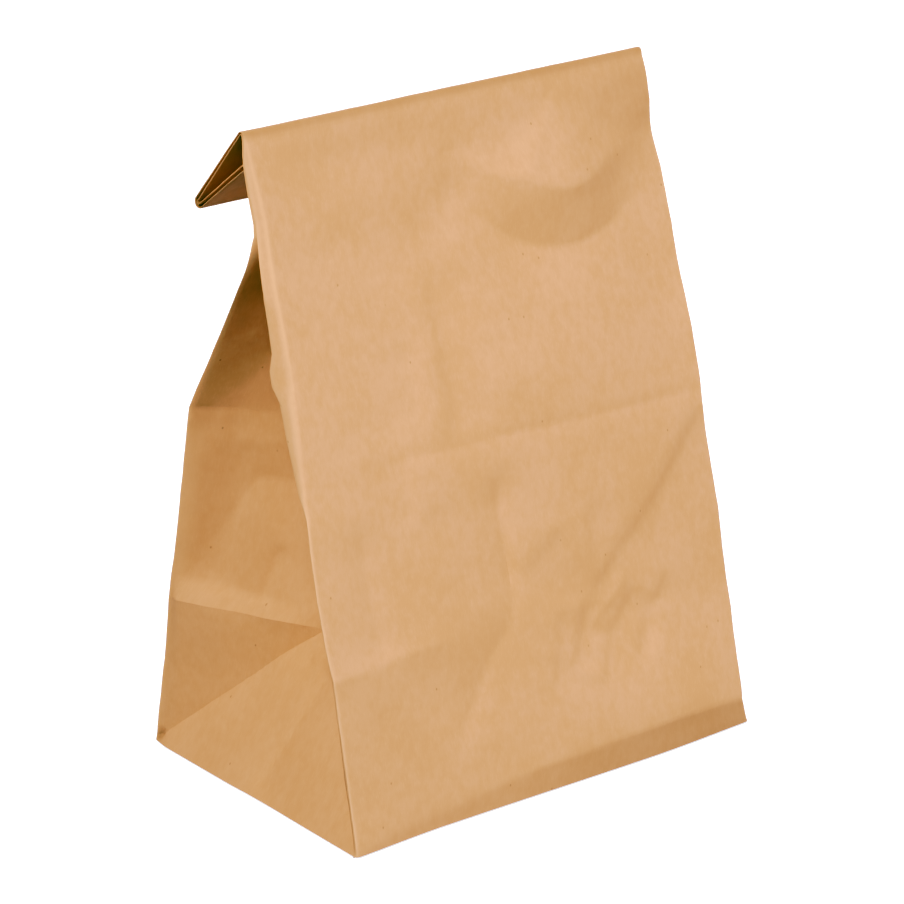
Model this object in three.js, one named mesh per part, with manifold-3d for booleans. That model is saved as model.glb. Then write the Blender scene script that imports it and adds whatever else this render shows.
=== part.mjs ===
// Brown paper lunch bag, standing on its opened base, with its top folded over to the back twice.
// Millimetres. X runs along the front panel, Y from front to back and Z up.
// The origin is the middle of the base, on the surface that the bag stands on.
import * as THREE from 'three';
import { mergeVertices } from 'three/addons/utils/BufferGeometryUtils.js';
import Module from 'manifold-3d';

// Base
const bagWidth = 132;
const bagDepth = 84;
const flapStep = 0.25; // each pasted base flap stands this far below the one under it
const flapOverlap = 10; // the front flap laps over the back flap by this much

// Front panel and the ridge that it ends in
const ridgeHeight = 175.8;
const ridgeSetback = 50; // the ridge stands this far behind the front edge of the base
const ridgeRadius = 1.6; // outside radius of the paper at the ridge
const foldRadius = 0.3; // inside radius of every folded edge

// Back panel: it leans in, creases at the shoulder and meets the front panel at the neck
const hipInset = 4.6;
const shoulderHeight = 98.5;
const shoulderInset = 13.8;
const neckHeight = 150.8;
const neckBend = 17; // the back panel curves into the neck over this length

// Rolled top: an outer turn that hangs off the ridge and an inner turn tucked up under it
const plyThickness = 0.4; // a panel and the gusset half folded against it
const neckThickness = 1.5; // both panels with the folded gusset between them
const tipThickness = 1.4;
const mouthThickness = 1.6;
const outerTurn = 27.8;
const outerTurnFall = THREE.MathUtils.degToRad(49.7); // below level, towards the back
const innerTurn = 23.2;
const innerTurnRise = THREE.MathUtils.degToRad(38.5); // above level, towards the front

// Creases and dents
const halfFoldHeight = 92; // the flat bag was folded in half here
const halfFoldDepth = 0.7;
const halfFoldReach = 3;
const halfFoldDriftReach = 16; // the crease isn't straight, and its neighbourhood drifts with it
const baseFoldDepth = 0.6;
const baseFoldReach = 4;
const baseFoldLength = 40; // it fades out this far from the left edge
const standRise = 8; // the front panel stands proud of the stiff base up to here
const standProud = 1.1;
const cornerTurn = 5; // a panel's outer strip of this width turns back towards the gusset
const cornerDrop = 3.2;
const gussetCreaseDepth = 1.3;
const wrinkleReach = 7;

// Spacing of the mesh
const grain = bagDepth / 14;
const backGrain = 11;
const arcSteps = 4;

const kraft = new THREE.MeshStandardMaterial({
  name: 'kraft_paper',
  color: new THREE.Color().setRGB(0.8, 0.63, 0.45, THREE.SRGBColorSpace),
  roughness: 0.85,
  metalness: 0,
});

const halfDepth = bagDepth / 2;
const halfWidth = bagWidth / 2;
const baseLevel = 2 * flapStep;

// Side outline: points are (Y, Z), kept in THREE.Vector2
const vector = (y, z) => new THREE.Vector2(y, z);
const heading = (angle) => vector(Math.cos(angle), Math.sin(angle));
const stepFrom = (point, direction, length) => point.clone().addScaledVector(direction, length);
const quarterTurn = Math.PI / 2;

const frontFoot = vector(-halfDepth, baseLevel);
const backFoot = vector(halfDepth, baseLevel);
const ridgeCentre = vector(ridgeSetback - halfDepth, ridgeHeight - ridgeRadius);
const footToRidge = ridgeCentre.clone().sub(frontFoot);
const frontRise = footToRidge.angle() + Math.asin(ridgeRadius / footToRidge.length());
const frontUp = heading(frontRise);
const frontOut = heading(frontRise + quarterTurn);
const frontSlant = Math.sqrt(footToRidge.lengthSq() - ridgeRadius ** 2);
const frontPoint = (slant) => stepFrom(frontFoot, frontUp, slant);

const hipSlant = halfDepth; // the base diagonals meet at this height on the gusset
const hip = backFoot.clone().add(vector(-hipInset, hipSlant));
const shoulder = backFoot.clone().add(vector(-shoulderInset, shoulderHeight - baseLevel));
const neckSlant = (neckHeight - baseLevel) / frontUp.y;
const neck = stepFrom(frontPoint(neckSlant), frontOut, -neckThickness);
const neckCorner = stepFrom(neck, frontUp, -neckThickness);
const throatShare = 1 - neckBend / shoulder.distanceTo(neckCorner);
const throat = shoulder.clone().lerp(neckCorner, throatShare);
const neckCurve = new THREE.QuadraticBezierCurve(throat, neckCorner, neck);

// A station is one crosswise ring of the bag: where its front and back panels are in the side
// outline, and its height up the front panel. Stations run from the base to the mouth.
const stations = [];
const addStation = (front, back, height) => stations.push({ front, back, height });

function addStraight(count, frontFrom, frontTo, backAt, heightFrom, heightTo) {
  for (let step = 1; step <= count; step += 1) {
    const share = step / count;
    const height = THREE.MathUtils.lerp(heightFrom, heightTo, share);
    addStation(frontFrom.clone().lerp(frontTo, share), backAt(share), height);
  }
}

function addBody(heightFrom, heightTo, backAt) {
  const count = Math.max(1, Math.round((heightTo - heightFrom) / grain));
  addStraight(count, frontPoint(heightFrom), frontPoint(heightTo), backAt, heightFrom, heightTo);
}

function addFold(centre, outerRadius, angleFrom, angleTo, height) {
  for (let step = 1; step <= arcSteps; step += 1) {
    const out = heading(THREE.MathUtils.lerp(angleFrom, angleTo, step / arcSteps));
    addStation(stepFrom(centre, out, outerRadius), stepFrom(centre, out, foldRadius), height);
  }
}

function addTurn(length, along, thicknessTo) {
  const last = stations.at(-1);
  const across = last.back.clone().sub(last.front).normalize();
  const frontTo = stepFrom(last.front, along, length);
  const backTo = stepFrom(frontTo, across, thicknessTo);
  const count = Math.ceil(length / grain);
  const backAt = (share) => last.back.clone().lerp(backTo, share);
  addStraight(count, last.front, frontTo, backAt, last.height, last.height + length);
}

const between = (from, to) => (share) => from.clone().lerp(to, share);
const throatHeight = THREE.MathUtils.lerp(halfFoldHeight, neckSlant, throatShare);

addStation(frontFoot, backFoot, 0);
addBody(0, hipSlant, between(backFoot, hip));
const hipStation = stations.length - 1;
const foldStart = hip.clone().lerp(shoulder, 1 - halfFoldReach / hip.distanceTo(shoulder));
const foldEnd = shoulder.clone().lerp(throat, halfFoldReach / shoulder.distanceTo(throat));
addBody(hipSlant, halfFoldHeight - halfFoldReach, between(hip, foldStart));
addBody(halfFoldHeight - halfFoldReach, halfFoldHeight, between(foldStart, shoulder));
addBody(halfFoldHeight, halfFoldHeight + halfFoldReach, between(shoulder, foldEnd));
addBody(halfFoldHeight + halfFoldReach, throatHeight, between(foldEnd, throat));
addBody(throatHeight, neckSlant, (share) => neckCurve.getPoint(share));
addBody(neckSlant, frontSlant, between(neck, stepFrom(ridgeCentre, frontOut, foldRadius)));
const outerOut = quarterTurn - outerTurnFall;
addFold(ridgeCentre, ridgeRadius, frontRise + quarterTurn, outerOut, frontSlant);
addTurn(outerTurn, heading(-outerTurnFall), tipThickness);
const tipRadius = tipThickness + foldRadius;
const tipCentre = stepFrom(stations.at(-1).front, heading(outerOut), -tipRadius);
const tipHeight = stations.at(-1).height;
addFold(tipCentre, tipRadius, outerOut, -quarterTurn - innerTurnRise, tipHeight);
addTurn(innerTurn, heading(Math.PI - innerTurnRise), mouthThickness);

// Value at a height from a list of [height, value] pairs in rising order
function along(pairs, height) {
  const next = pairs.findIndex(([at]) => at >= height);
  if (next < 0) return pairs.at(-1)[1];
  if (next === 0) return pairs[0][1];
  const [[fromHeight, from], [toHeight, to]] = [pairs[next - 1], pairs[next]];
  return THREE.MathUtils.mapLinear(height, fromHeight, toHeight, from, to);
}

// How far each side edge stands in from the full width, up the height of the front panel
const sideInset = {
  '-1': [[0, 0], [standRise, 0.8], [frontSlant * 0.7, 1], [frontSlant, 1.8]],
  1: [
    [0, 0], [standRise, 1.8], [frontSlant * 0.38, 0], [frontSlant * 0.7, 0.8],
    [frontSlant * 0.92, 3.4], [frontSlant, 2],
  ],
};
const edgeX = (side, height) => side * (halfWidth - along(sideInset[side], height));

// How far the half fold strays from its height, from the left edge (-1) to the right edge (1)
const halfFoldDrift = [[-1, 1], [-0.48, 2], [0.26, 0.3], [0.72, -2], [1, -1]];

// Creases on the front panel, as lines through points [share of half width, height]
const baseFoldLine = [[-1, hipSlant + 3], [-0.4, hipSlant + 2.5]];
const wrinkles = [
  { line: [[0.95, hipSlant * 2], [0.53, hipSlant * 1.45], [0.3, hipSlant * 1.15]], depth: 0.9 },
  { line: [[0.45, hipSlant * 1.12], [0.25, hipSlant * 0.88]], depth: -0.6 },
  { line: [[0.15, hipSlant * 1.56], [-0.07, hipSlant * 1.36]], depth: 0.5 },
];
const dent = { x: 0.38, height: frontSlant * 0.785, wide: 24, high: 9, depth: 1.3 };

function distanceTo(line, x, height) {
  const point = new THREE.Vector3(x, height, 0);
  const nearest = new THREE.Vector3();
  const corners = line.map(([share, at]) => new THREE.Vector3(share * halfWidth, at, 0));
  const gaps = corners.slice(1).map((corner, index) => {
    new THREE.Line3(corners[index], corner).closestPointToPoint(point, true, nearest);
    return nearest.distanceTo(point);
  });
  return Math.min(...gaps);
}

const groove = (distance, depth, reach) => -depth * Math.exp(-((distance / reach) ** 2));

// How far the front panel stands out of its flat plane
function frontRelief(x, height) {
  if (height >= frontSlant) return 0;
  const fadeIn = THREE.MathUtils.smoothstep(height, 0, standRise);
  const fadeOut = 1 - THREE.MathUtils.smoothstep(height, neckSlant, frontSlant);
  const fromEdge = halfWidth + x;
  const baseFoldFade = 1 - THREE.MathUtils.smoothstep(fromEdge, baseFoldLength / 2, baseFoldLength);
  const proud = standProud * THREE.MathUtils.smoothstep(fromEdge, baseFoldLength / 2, bagWidth);
  const standFade = 1 - THREE.MathUtils.smoothstep(height, standRise, hipSlant);
  const folds = [
    groove(height - halfFoldHeight, halfFoldDepth, halfFoldReach),
    baseFoldFade * groove(distanceTo(baseFoldLine, x, height), baseFoldDepth, baseFoldReach),
    proud * standFade,
    ...wrinkles.map(({ line, depth }) => groove(distanceTo(line, x, height), depth, wrinkleReach)),
    groove(
      Math.hypot((x - dent.x * halfWidth) / dent.wide, (height - dent.height) / dent.high),
      dent.depth,
      1,
    ),
  ];
  return fadeIn * fadeOut * folds.reduce((sum, fold) => sum + fold, 0);
}

// The outer strip of the front panel turns back at the sides between the half fold and the neck
function cornerSetback(x, height) {
  const inFromEdge = Math.min(halfWidth - Math.abs(x), cornerTurn) / cornerTurn;
  const span = neckSlant - halfFoldHeight;
  const rise = THREE.MathUtils.smoothstep(height, halfFoldHeight, halfFoldHeight + span * 0.45);
  const fall = 1 - THREE.MathUtils.smoothstep(height, neckSlant - span * 0.35, neckSlant);
  return cornerDrop * rise * fall * (1 - inFromEdge) ** 1.5;
}

const spread = (share, height) => Math.abs(share) * edgeX(share < 0 ? -1 : 1, height);
const lift = (x, flat) => new THREE.Vector3(x, flat.x, flat.y);

function onFront(share, station) {
  const { front, height } = station;
  const x = spread(share, height);
  const out = frontRelief(x, height) - cornerSetback(x, height);
  const drift = -groove(height - halfFoldHeight, along(halfFoldDrift, share), halfFoldDriftReach);
  return lift(x, stepFrom(stepFrom(front, frontUp, drift), frontOut, out));
}

const onBack = (share, { back, height }) => lift(spread(share, height), back);

// The two edges of a gusset at a station, one ply inside the panels' outer faces
function gussetEdges(side, station) {
  const front = onFront(side, station);
  const back = onBack(side, station);
  const across = back.clone().sub(front).normalize().multiplyScalar(plyThickness);
  return { front: front.add(across), back: back.sub(across) };
}

// The gusset's centre crease, pushed in as far as its paper width allows
function centreCrease(side, station) {
  const { front, back } = gussetEdges(side, station);
  const halfSpan = Math.min(front.distanceTo(back) / 2, halfDepth);
  const pushedIn = Math.sqrt(halfDepth ** 2 - halfSpan ** 2);
  const middle = front.lerp(back, 0.5);
  const fold = groove(station.height - halfFoldHeight, gussetCreaseDepth, halfFoldReach);
  middle.x -= side * (pushedIn + fold);
  return middle;
}

// A point on a gusset: share runs from 0 at the front edge, over 1 at the centre crease, to 2
// at the back edge. Below the hip, two diagonal creases run from the base corners to the centre.
function onGusset(side, share, index) {
  const { front, back } = gussetEdges(side, stations[index]);
  const edge = share <= 1 ? front : back;
  const fromEdge = share <= 1 ? share : 2 - share;
  if (index >= hipStation) {
    return edge.lerp(centreCrease(side, stations[index]), fromEdge);
  }
  const rise = index / hipStation;
  const corners = gussetEdges(side, stations[0]);
  const centre = centreCrease(side, stations[hipStation]);
  const frontDiagonal = corners.front.lerp(centre, rise);
  const backDiagonal = corners.back.lerp(centre, rise);
  if (fromEdge < rise) {
    return edge.lerp(share <= 1 ? frontDiagonal : backDiagonal, fromEdge / rise);
  }
  return frontDiagonal.lerp(backDiagonal, (share - rise) / (2 - 2 * rise));
}

// Columns of the mesh, in order round the bag. Each one places its point at any station, and
// towardsCentre says which way the crossing edge of the quad after it runs.
const steps = (count) => Array.from({ length: count + 1 }, (_, step) => step / count);
const stripShares = [0, 0.4, 0.8, 1.4].map((part) => 1 - (part * cornerTurn) / halfWidth);
const plainCount = Math.round(bagWidth / grain) - 2;
const plainShares = steps(plainCount).map((part) => (2 * part - 1) * stripShares.at(-1));
const edgeShares = stripShares.slice(0, -1);
const frontShares = [
  ...edgeShares.map((share) => -share), ...plainShares, ...edgeShares.toReversed(),
];
const backShares = steps(Math.round(bagWidth / backGrain)).map((part) => 1 - 2 * part);
const gussetShares = steps(2 * hipStation).map((part) => 2 * part);

const panelColumn = (place, share) => ({
  at: (index) => place(share, stations[index]),
  towardsCentre: true,
});
const gussetColumn = (side, share) => ({
  at: (index) => onGusset(side, share, index),
  towardsCentre: side > 0 ? share < 1 : share > 1,
});
const columns = [
  ...frontShares.map((share) => panelColumn(onFront, share)),
  ...gussetShares.map((share) => gussetColumn(1, share)),
  ...backShares.map((share) => panelColumn(onBack, share)),
  ...gussetShares.toReversed().map((share) => gussetColumn(-1, share)),
];

function solidFrom(positions, triangles) {
  const geometry = new THREE.BufferGeometry();
  geometry.setAttribute('position', new THREE.Float32BufferAttribute(positions, 3));
  geometry.setIndex(triangles);
  const merged = mergeVertices(geometry, 1e-4);
  return new wasm.Manifold(new wasm.Mesh({
    numProp: 3,
    vertProperties: merged.attributes.position.array,
    triVerts: new Uint32Array(merged.index.array),
  }));
}

// The folded paper: a skin of quads over all stations, closed at the base and at the mouth
function paperSkin() {
  const positions = [];
  const triangles = [];
  const around = columns.length;
  const corner = (index, column) => index * around + (column % around);
  stations.forEach((_, index) => {
    columns.forEach((column) => positions.push(...column.at(index).toArray()));
  });
  for (let index = 0; index + 1 < stations.length; index += 1) {
    columns.forEach(({ towardsCentre }, column) => {
      const low = corner(index, column);
      const lowNext = corner(index, column + 1);
      const high = corner(index + 1, column);
      const highNext = corner(index + 1, column + 1);
      triangles.push(...(towardsCentre
        ? [low, lowNext, highNext, low, highNext, high]
        : [low, lowNext, high, lowNext, highNext, high]));
    });
  }
  [0, stations.length - 1].forEach((index) => {
    const { front, back, height } = stations[index];
    const middle = positions.length / 3;
    positions.push(...lift((edgeX(1, height) + edgeX(-1, height)) / 2, front.clone().lerp(back, 0.5)));
    columns.forEach((_, column) => {
      const pair = [corner(index, column), corner(index, column + 1)];
      triangles.push(middle, ...(index === 0 ? pair.toReversed() : pair));
    });
  });
  return solidFrom(positions, triangles);
}

// A base flap: a four-sided slab whose ends run in at 45 degrees from the base corners
function baseFlap(outerY, innerY, bottom) {
  const run = Math.abs(innerY - outerY);
  const ring = [
    [-halfWidth, outerY], [halfWidth, outerY], [halfWidth - run, innerY], [run - halfWidth, innerY],
  ];
  if (innerY < outerY) ring.reverse();
  const flap = new THREE.ExtrudeGeometry(
    new THREE.Shape(ring.map(([x, y]) => vector(x, y))),
    { depth: baseLevel - bottom, bevelEnabled: false },
  );
  flap.translate(0, 0, bottom);
  flap.deleteAttribute('normal');
  flap.deleteAttribute('uv');
  const merged = mergeVertices(flap, 1e-4);
  return solidFrom(merged.attributes.position.array, [...merged.index.array]);
}

const wasm = await Module();
wasm.setup();
const lap = flapOverlap / 2;
const folded = paperSkin()
  .add(baseFlap(halfDepth, lap, flapStep))
  .add(baseFlap(-halfDepth, lap, 0))
  .getMesh();

const geometry = new THREE.BufferGeometry();
geometry.setAttribute('position', new THREE.Float32BufferAttribute(folded.vertProperties, 3));
geometry.setIndex([...folded.triVerts]);
geometry.computeVertexNormals();

const bag = new THREE.Mesh(geometry, kraft);
bag.name = 'paper_bag';

const group = new THREE.Group();
group.add(bag);
export default group;
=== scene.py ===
import math
from collections import namedtuple

import bpy
import numpy as np
from bpy.props import FloatProperty, FloatVectorProperty, IntProperty, PointerProperty
from mathutils import Matrix, Vector


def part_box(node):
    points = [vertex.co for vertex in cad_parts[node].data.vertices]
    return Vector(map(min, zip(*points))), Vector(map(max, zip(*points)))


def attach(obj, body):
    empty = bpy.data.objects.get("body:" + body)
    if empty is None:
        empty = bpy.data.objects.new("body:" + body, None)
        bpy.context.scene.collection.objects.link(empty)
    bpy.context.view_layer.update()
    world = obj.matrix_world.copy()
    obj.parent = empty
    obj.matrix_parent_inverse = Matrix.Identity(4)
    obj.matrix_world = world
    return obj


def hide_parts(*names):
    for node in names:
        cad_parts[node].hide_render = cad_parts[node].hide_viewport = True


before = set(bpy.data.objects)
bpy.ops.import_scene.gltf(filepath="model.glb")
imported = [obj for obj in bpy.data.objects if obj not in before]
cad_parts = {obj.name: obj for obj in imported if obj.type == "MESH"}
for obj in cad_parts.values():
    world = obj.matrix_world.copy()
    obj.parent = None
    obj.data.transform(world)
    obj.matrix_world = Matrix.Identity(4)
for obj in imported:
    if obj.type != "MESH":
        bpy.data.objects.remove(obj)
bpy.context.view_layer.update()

bl_info = {
    "name": "Brown Paper Lunch Bag",
    "version": (1, 0, 0),
    "blender": (4, 5, 0),
    "location": "3D View > Sidebar > Paper Bag",
    "description": "Folds a kraft paper lunch bag with a rolled top and lights it for a photograph",
    "category": "Object",
}

MM = 0.001
CAD_NODE = "paper_bag"
BAG_LOW, BAG_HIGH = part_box(CAD_NODE)
BAG_SIZE = Vector(BAG_HIGH) - Vector(BAG_LOW)


def length(name, millimetres, description):
    """A length in a property group, whose default is given in millimetres."""
    return FloatProperty(name=name, description=description, default=millimetres * MM,
                         unit="LENGTH", subtype="DISTANCE", precision=4)


def angle(name, degrees, description):
    """An angle in a property group, whose default is given in degrees."""
    return FloatProperty(name=name, description=description, default=math.radians(degrees),
                         unit="ROTATION", subtype="ANGLE")


def number(name, value, description):
    """A plain number in a property group."""
    return FloatProperty(name=name, description=description, default=value)


def colour(name, value, description):
    """A colour in a property group, in linear red, green and blue."""
    return FloatVectorProperty(name=name, description=description, default=value,
                               size=3, min=0, max=1, subtype="COLOR")


class PaperBagSizes(bpy.types.PropertyGroup):
    """Where the paper is folded, seen from the side and across the front."""
    width: length("Width", BAG_SIZE.x / MM, "Width of the base")
    depth: length("Depth", BAG_SIZE.y / MM, "Depth of the base, and the width of a gusset")
    height: length("Height", BAG_SIZE.z / MM, "Height of the ridge over the table")
    flap_step: length("Flap Step", 0.25, "Thickness of one pasted base flap")
    flap_lap: length("Flap Lap", 10, "How far the front base flap laps over the back one")
    ridge_setback: length("Ridge Setback", 50, "How far the ridge stands behind the front edge")
    ridge_radius: length("Ridge Radius", 1.3, "Outside radius of the paper at the ridge")
    fold_radius: length("Fold Radius", 0.3, "Inside radius of every folded edge")
    hip_inset: length("Hip Inset", 4.6, "How far the back panel leans in at the base fold")
    shoulder_height: length("Shoulder Height", 98.5, "Height of the half fold on the back")
    shoulder_inset: length("Shoulder Inset", 13.8, "How far the back leans in at the half fold")
    neck_height: length("Neck Height", 150.8, "Height at which the two panels meet")
    neck_bend: length("Neck Bend", 17, "Length over which the back panel bends into the neck")
    ply: length("Ply", 0.4, "Thickness of a panel with half a gusset folded against it")
    neck_thickness: length("Neck Thickness", 1.5, "Thickness of the flattened neck")
    tip_thickness: length("Tip Thickness", 1.4, "Thickness at the fold of the rolled top")
    mouth_thickness: length("Mouth Thickness", 1.6, "Thickness at the mouth")
    outer_turn: length("Outer Turn", 27.8, "Length of the turn that hangs off the ridge")
    outer_fall: angle("Outer Turn Fall", 49.7, "Slope of the outer turn, below level")
    inner_turn: length("Inner Turn", 23.2, "Length of the turn tucked up under the outer one")
    inner_rise: angle("Inner Turn Rise", 38.5, "Slope of the inner turn, above level")
    half_fold: length("Half Fold", 92, "Height up the front at which the flat bag was folded")


class KraftPaperFinish(bpy.types.PropertyGroup):
    """Colour and surface of the brown kraft paper."""
    paper: colour("Paper", (0.650, 0.358, 0.190), "Colour of the clean paper")
    mottle: colour("Mottle", (0.575, 0.300, 0.146), "Colour of the darker clouds in the pulp")
    # This colour also paints the pale folds, which are partly worn and partly painted highlight
    pale_fibre_and_highlight: colour("Fibre", (0.760, 0.450, 0.240), "Colour of the pale fibres and worn folds")
    # This colour also paints the painted shade on the ridge, the tip of the roll and a gusset's foot
    # corner
    fleck_and_painted_shade: colour("Fleck", (0.230, 0.120, 0.050), "Colour of the bark flecks and soiled folds")
    roughness: FloatProperty(name="Roughness", description="Roughness of the paper",
                             default=0.78, min=0, max=1, subtype="FACTOR")
    cockle_height: length("Cockle Height", 0.7, "Height of the soft waves in the panels")
    cockle_width: length("Cockle Width", 30, "Width of the soft waves in the panels")
    ripple_height: length("Ripple Height", 0.15, "Height of the small ripples")
    ripple_width: length("Ripple Width", 7, "Width of the small ripples")
    seed: IntProperty(name="Seed", description="Picks one pattern of waves", default=4)


class PaperBagStudio(bpy.types.PropertyGroup):
    """Camera, floor and lights."""
    azimuth: angle("Camera Azimuth", -38.898, "Turn of the camera from the front")
    elevation: angle("Camera Elevation", 22.0, "Height angle of the camera")
    roll: angle("Camera Roll", 0.993, "Tilt of the camera about its own axis")
    distance: length("Camera Distance", 975, "Distance from the camera to the point it looks at")
    lens: number("Lens", 155.95, "Focal length in millimetres on a 36 millimetre sensor")
    key_power: number("Key Power", 19.2, "Power of the soft key light in watts")
    front_power: number("Front Power", 8.2, "Power of the low light in front, in watts")
    right_power: number("Right Power", 3.7, "Power of the light at the right, in watts")
    top_power: number("Top Power", 2.7, "Power of the light overhead, in watts")
    back_power: number("Back Power", 14.0, "Power of the light behind at the right, in watts")
    sky: number("Sky", 0.12, "Strength of the even light from all round")


class Millimetres:
    """Reads the lengths of a property group in millimetres."""

    def __init__(self, group):
        self.group = group

    def __getattr__(self, name):
        return getattr(self.group, name) / MM


def heading(turn):
    """Unit vector in the side outline, where a point is (Y, Z)."""
    return np.array([math.cos(turn), math.sin(turn)])


def smoothstep(low, high, value):
    share = np.clip((value - low) / (high - low), 0, 1)
    return share * share * (3 - 2 * share)


def mix(start, end, share):
    return start + (end - start) * share


class SideOutline:
    """The bag seen from its left side: one ring after another, from the base to the mouth.

    A ring has a front point and a back point (Y, Z), its height up the front panel, and its
    place along the paper.
    """

    BODY_STEP = 1.0
    TURN_STEP = 1.5
    RIDGE_STEPS = 12
    TIP_STEPS = 16

    def __init__(self, sizes):
        mm = Millimetres(sizes)
        self.base_level = 2 * mm.flap_step
        half_depth = mm.depth / 2
        self.front_foot = np.array([-half_depth, self.base_level])
        back_foot = np.array([half_depth, self.base_level])
        ridge = np.array([mm.ridge_setback - half_depth, mm.height - mm.ridge_radius])
        reach = ridge - self.front_foot
        span = math.hypot(*reach)
        rise = math.atan2(reach[1], reach[0]) + math.asin(mm.ridge_radius / span)
        self.up = heading(rise)
        self.out = heading(rise + math.pi / 2)
        self.slant = math.sqrt(span ** 2 - mm.ridge_radius ** 2)
        hip_slant = half_depth
        hip = back_foot + [-mm.hip_inset, half_depth]
        shoulder = back_foot + [-mm.shoulder_inset, mm.shoulder_height - self.base_level]
        self.neck_slant = (mm.neck_height - self.base_level) / self.up[1]
        neck = self.on_slope(self.neck_slant) - self.out * mm.neck_thickness
        corner = neck - self.up * mm.neck_thickness
        throat_share = 1 - mm.neck_bend / math.dist(shoulder, corner)
        throat = mix(shoulder, corner, throat_share)
        throat_height = mix(mm.half_fold, self.neck_slant, throat_share)

        def neck_curve(share):
            return mix(mix(throat, corner, share), mix(corner, neck, share), share)

        def straight(start, end):
            return lambda share: mix(start, end, share)

        self.rings = [(self.front_foot, back_foot, 0.0)]
        self.add_body(0, hip_slant, straight(back_foot, hip))
        self.hip_ring = len(self.rings) - 1
        self.add_body(hip_slant, mm.half_fold, straight(hip, shoulder))
        self.add_body(mm.half_fold, throat_height, straight(shoulder, throat))
        self.add_body(throat_height, self.neck_slant, neck_curve)
        under_ridge = ridge + self.out * mm.fold_radius
        self.add_body(self.neck_slant, self.slant, straight(neck, under_ridge))
        outer_out = math.pi / 2 - sizes.outer_fall
        self.ridge_ring = len(self.rings)
        self.add_fold(ridge, mm.ridge_radius, mm.fold_radius, rise + math.pi / 2, outer_out,
                      self.RIDGE_STEPS)
        self.add_turn(mm.outer_turn, heading(-sizes.outer_fall), mm.tip_thickness)
        tip_radius = mm.tip_thickness + mm.fold_radius
        tip = self.rings[-1][0] - heading(outer_out) * tip_radius
        self.tip_ring = len(self.rings)
        self.add_fold(tip, tip_radius, mm.fold_radius, outer_out, -math.pi / 2 - sizes.inner_rise,
                      self.TIP_STEPS)
        self.add_turn(mm.inner_turn, heading(math.pi - sizes.inner_rise), mm.mouth_thickness)

        self.front = np.array([ring[0] for ring in self.rings])
        self.back = np.array([ring[1] for ring in self.rings])
        self.height = np.array([ring[2] for ring in self.rings])
        steps = np.hypot(*np.diff(self.front, axis=0).T)
        self.run = np.concatenate([[0], np.cumsum(steps)])

    def on_slope(self, height):
        return self.front_foot + self.up * height

    def add_body(self, low, high, back_at):
        """Rings up the front slope."""
        count = max(1, round((high - low) / self.BODY_STEP))
        for step in range(1, count + 1):
            share = step / count
            height = mix(low, high, share)
            self.rings.append((self.on_slope(height), back_at(share), height))

    def add_fold(self, centre, outer, inner, start, end, count):
        """Rings round a folded edge."""
        height = self.rings[-1][2]
        for step in range(1, count + 1):
            out = heading(mix(start, end, step / count))
            self.rings.append((centre + out * outer, centre + out * inner, height))

    def add_turn(self, reach, along, thickness):
        """Rings along one turn of the rolled top."""
        front, back, height = self.rings[-1]
        across = (back - front) / math.dist(back, front)
        front_end = front + along * reach
        back_end = front_end + across * thickness
        count = round(reach / self.TURN_STEP)
        for step in range(1, count + 1):
            share = step / count
            self.rings.append(
                (mix(front, front_end, share), mix(back, back_end, share), height + reach * share))


def line_field(across, height, corners):
    """Signed distance to a bent line, left hand positive, and the way left to its nearer end."""
    corners = np.asarray(corners, float)
    lengths = np.hypot(*np.diff(corners, axis=0).T)
    starts = np.concatenate([[0], np.cumsum(lengths)])
    gap = np.full(across.shape, np.inf)
    side = np.zeros(across.shape)
    run = np.zeros(across.shape)
    for (x0, h0), (x1, h1), reach, start in zip(corners, corners[1:], lengths, starts):
        dx, dh = (x1 - x0) / reach, (h1 - h0) / reach
        beside = np.clip((across - x0) * dx + (height - h0) * dh, 0, reach)
        off_x, off_h = across - x0 - beside * dx, height - h0 - beside * dh
        distance = np.hypot(off_x, off_h)
        closer = distance < gap
        gap = np.where(closer, distance, gap)
        side = np.where(closer, np.sign(off_h * dx - off_x * dh), side)
        run = np.where(closer, start + beside, run)
    return gap * side, np.minimum(run, starts[-1] - run)


# The values from here to the sheet's mesh are in millimetres, and heights go up the panel.
# The bottom of a crease is rounded to this radius.
CRISP = 0.3


class Ramp(namedtuple("Ramp", "start end low high")):
    """Runs smoothly from start to end while a place goes from low to high."""

    def __call__(self, place):
        return mix(self.start, self.end, smoothstep(self.low, self.high, place))


class Mound(namedtuple("Mound", "rise across height across_reach height_reach")):
    """A round rise; a negative one is a pit."""

    def __call__(self, across, height):
        beside = (across - self.across) / self.across_reach
        above = (height - self.height) / self.height_reach
        return self.rise * np.exp(-beside ** 2 - above ** 2)


class Valley(namedtuple("Valley", "name depth left right fade corners")):
    """A crease with a crisp bottom, with the widths of its slopes at the line's left and right
    hand. A negative depth makes it a ridge."""

    def __call__(self, across, height):
        gap, to_end = line_field(across, height, self.corners)
        crisp = np.hypot(gap, CRISP) - CRISP
        reach = np.where(gap > 0, self.left, self.right)
        return -self.depth * np.exp(-crisp / reach) * smoothstep(0, self.fade, to_end)


class Bank(namedtuple("Bank", "name drop reach fade corners")):
    """A step that drops from its line's left hand to its right hand."""

    TAIL = 6

    def __call__(self, across, height):
        gap, to_end = line_field(across, height, self.corners)
        share = gap / self.reach
        fall = share / np.hypot(1, share) * np.exp(-(share / self.TAIL) ** 2)
        return self.drop * fall * smoothstep(0, self.fade, to_end)


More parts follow.
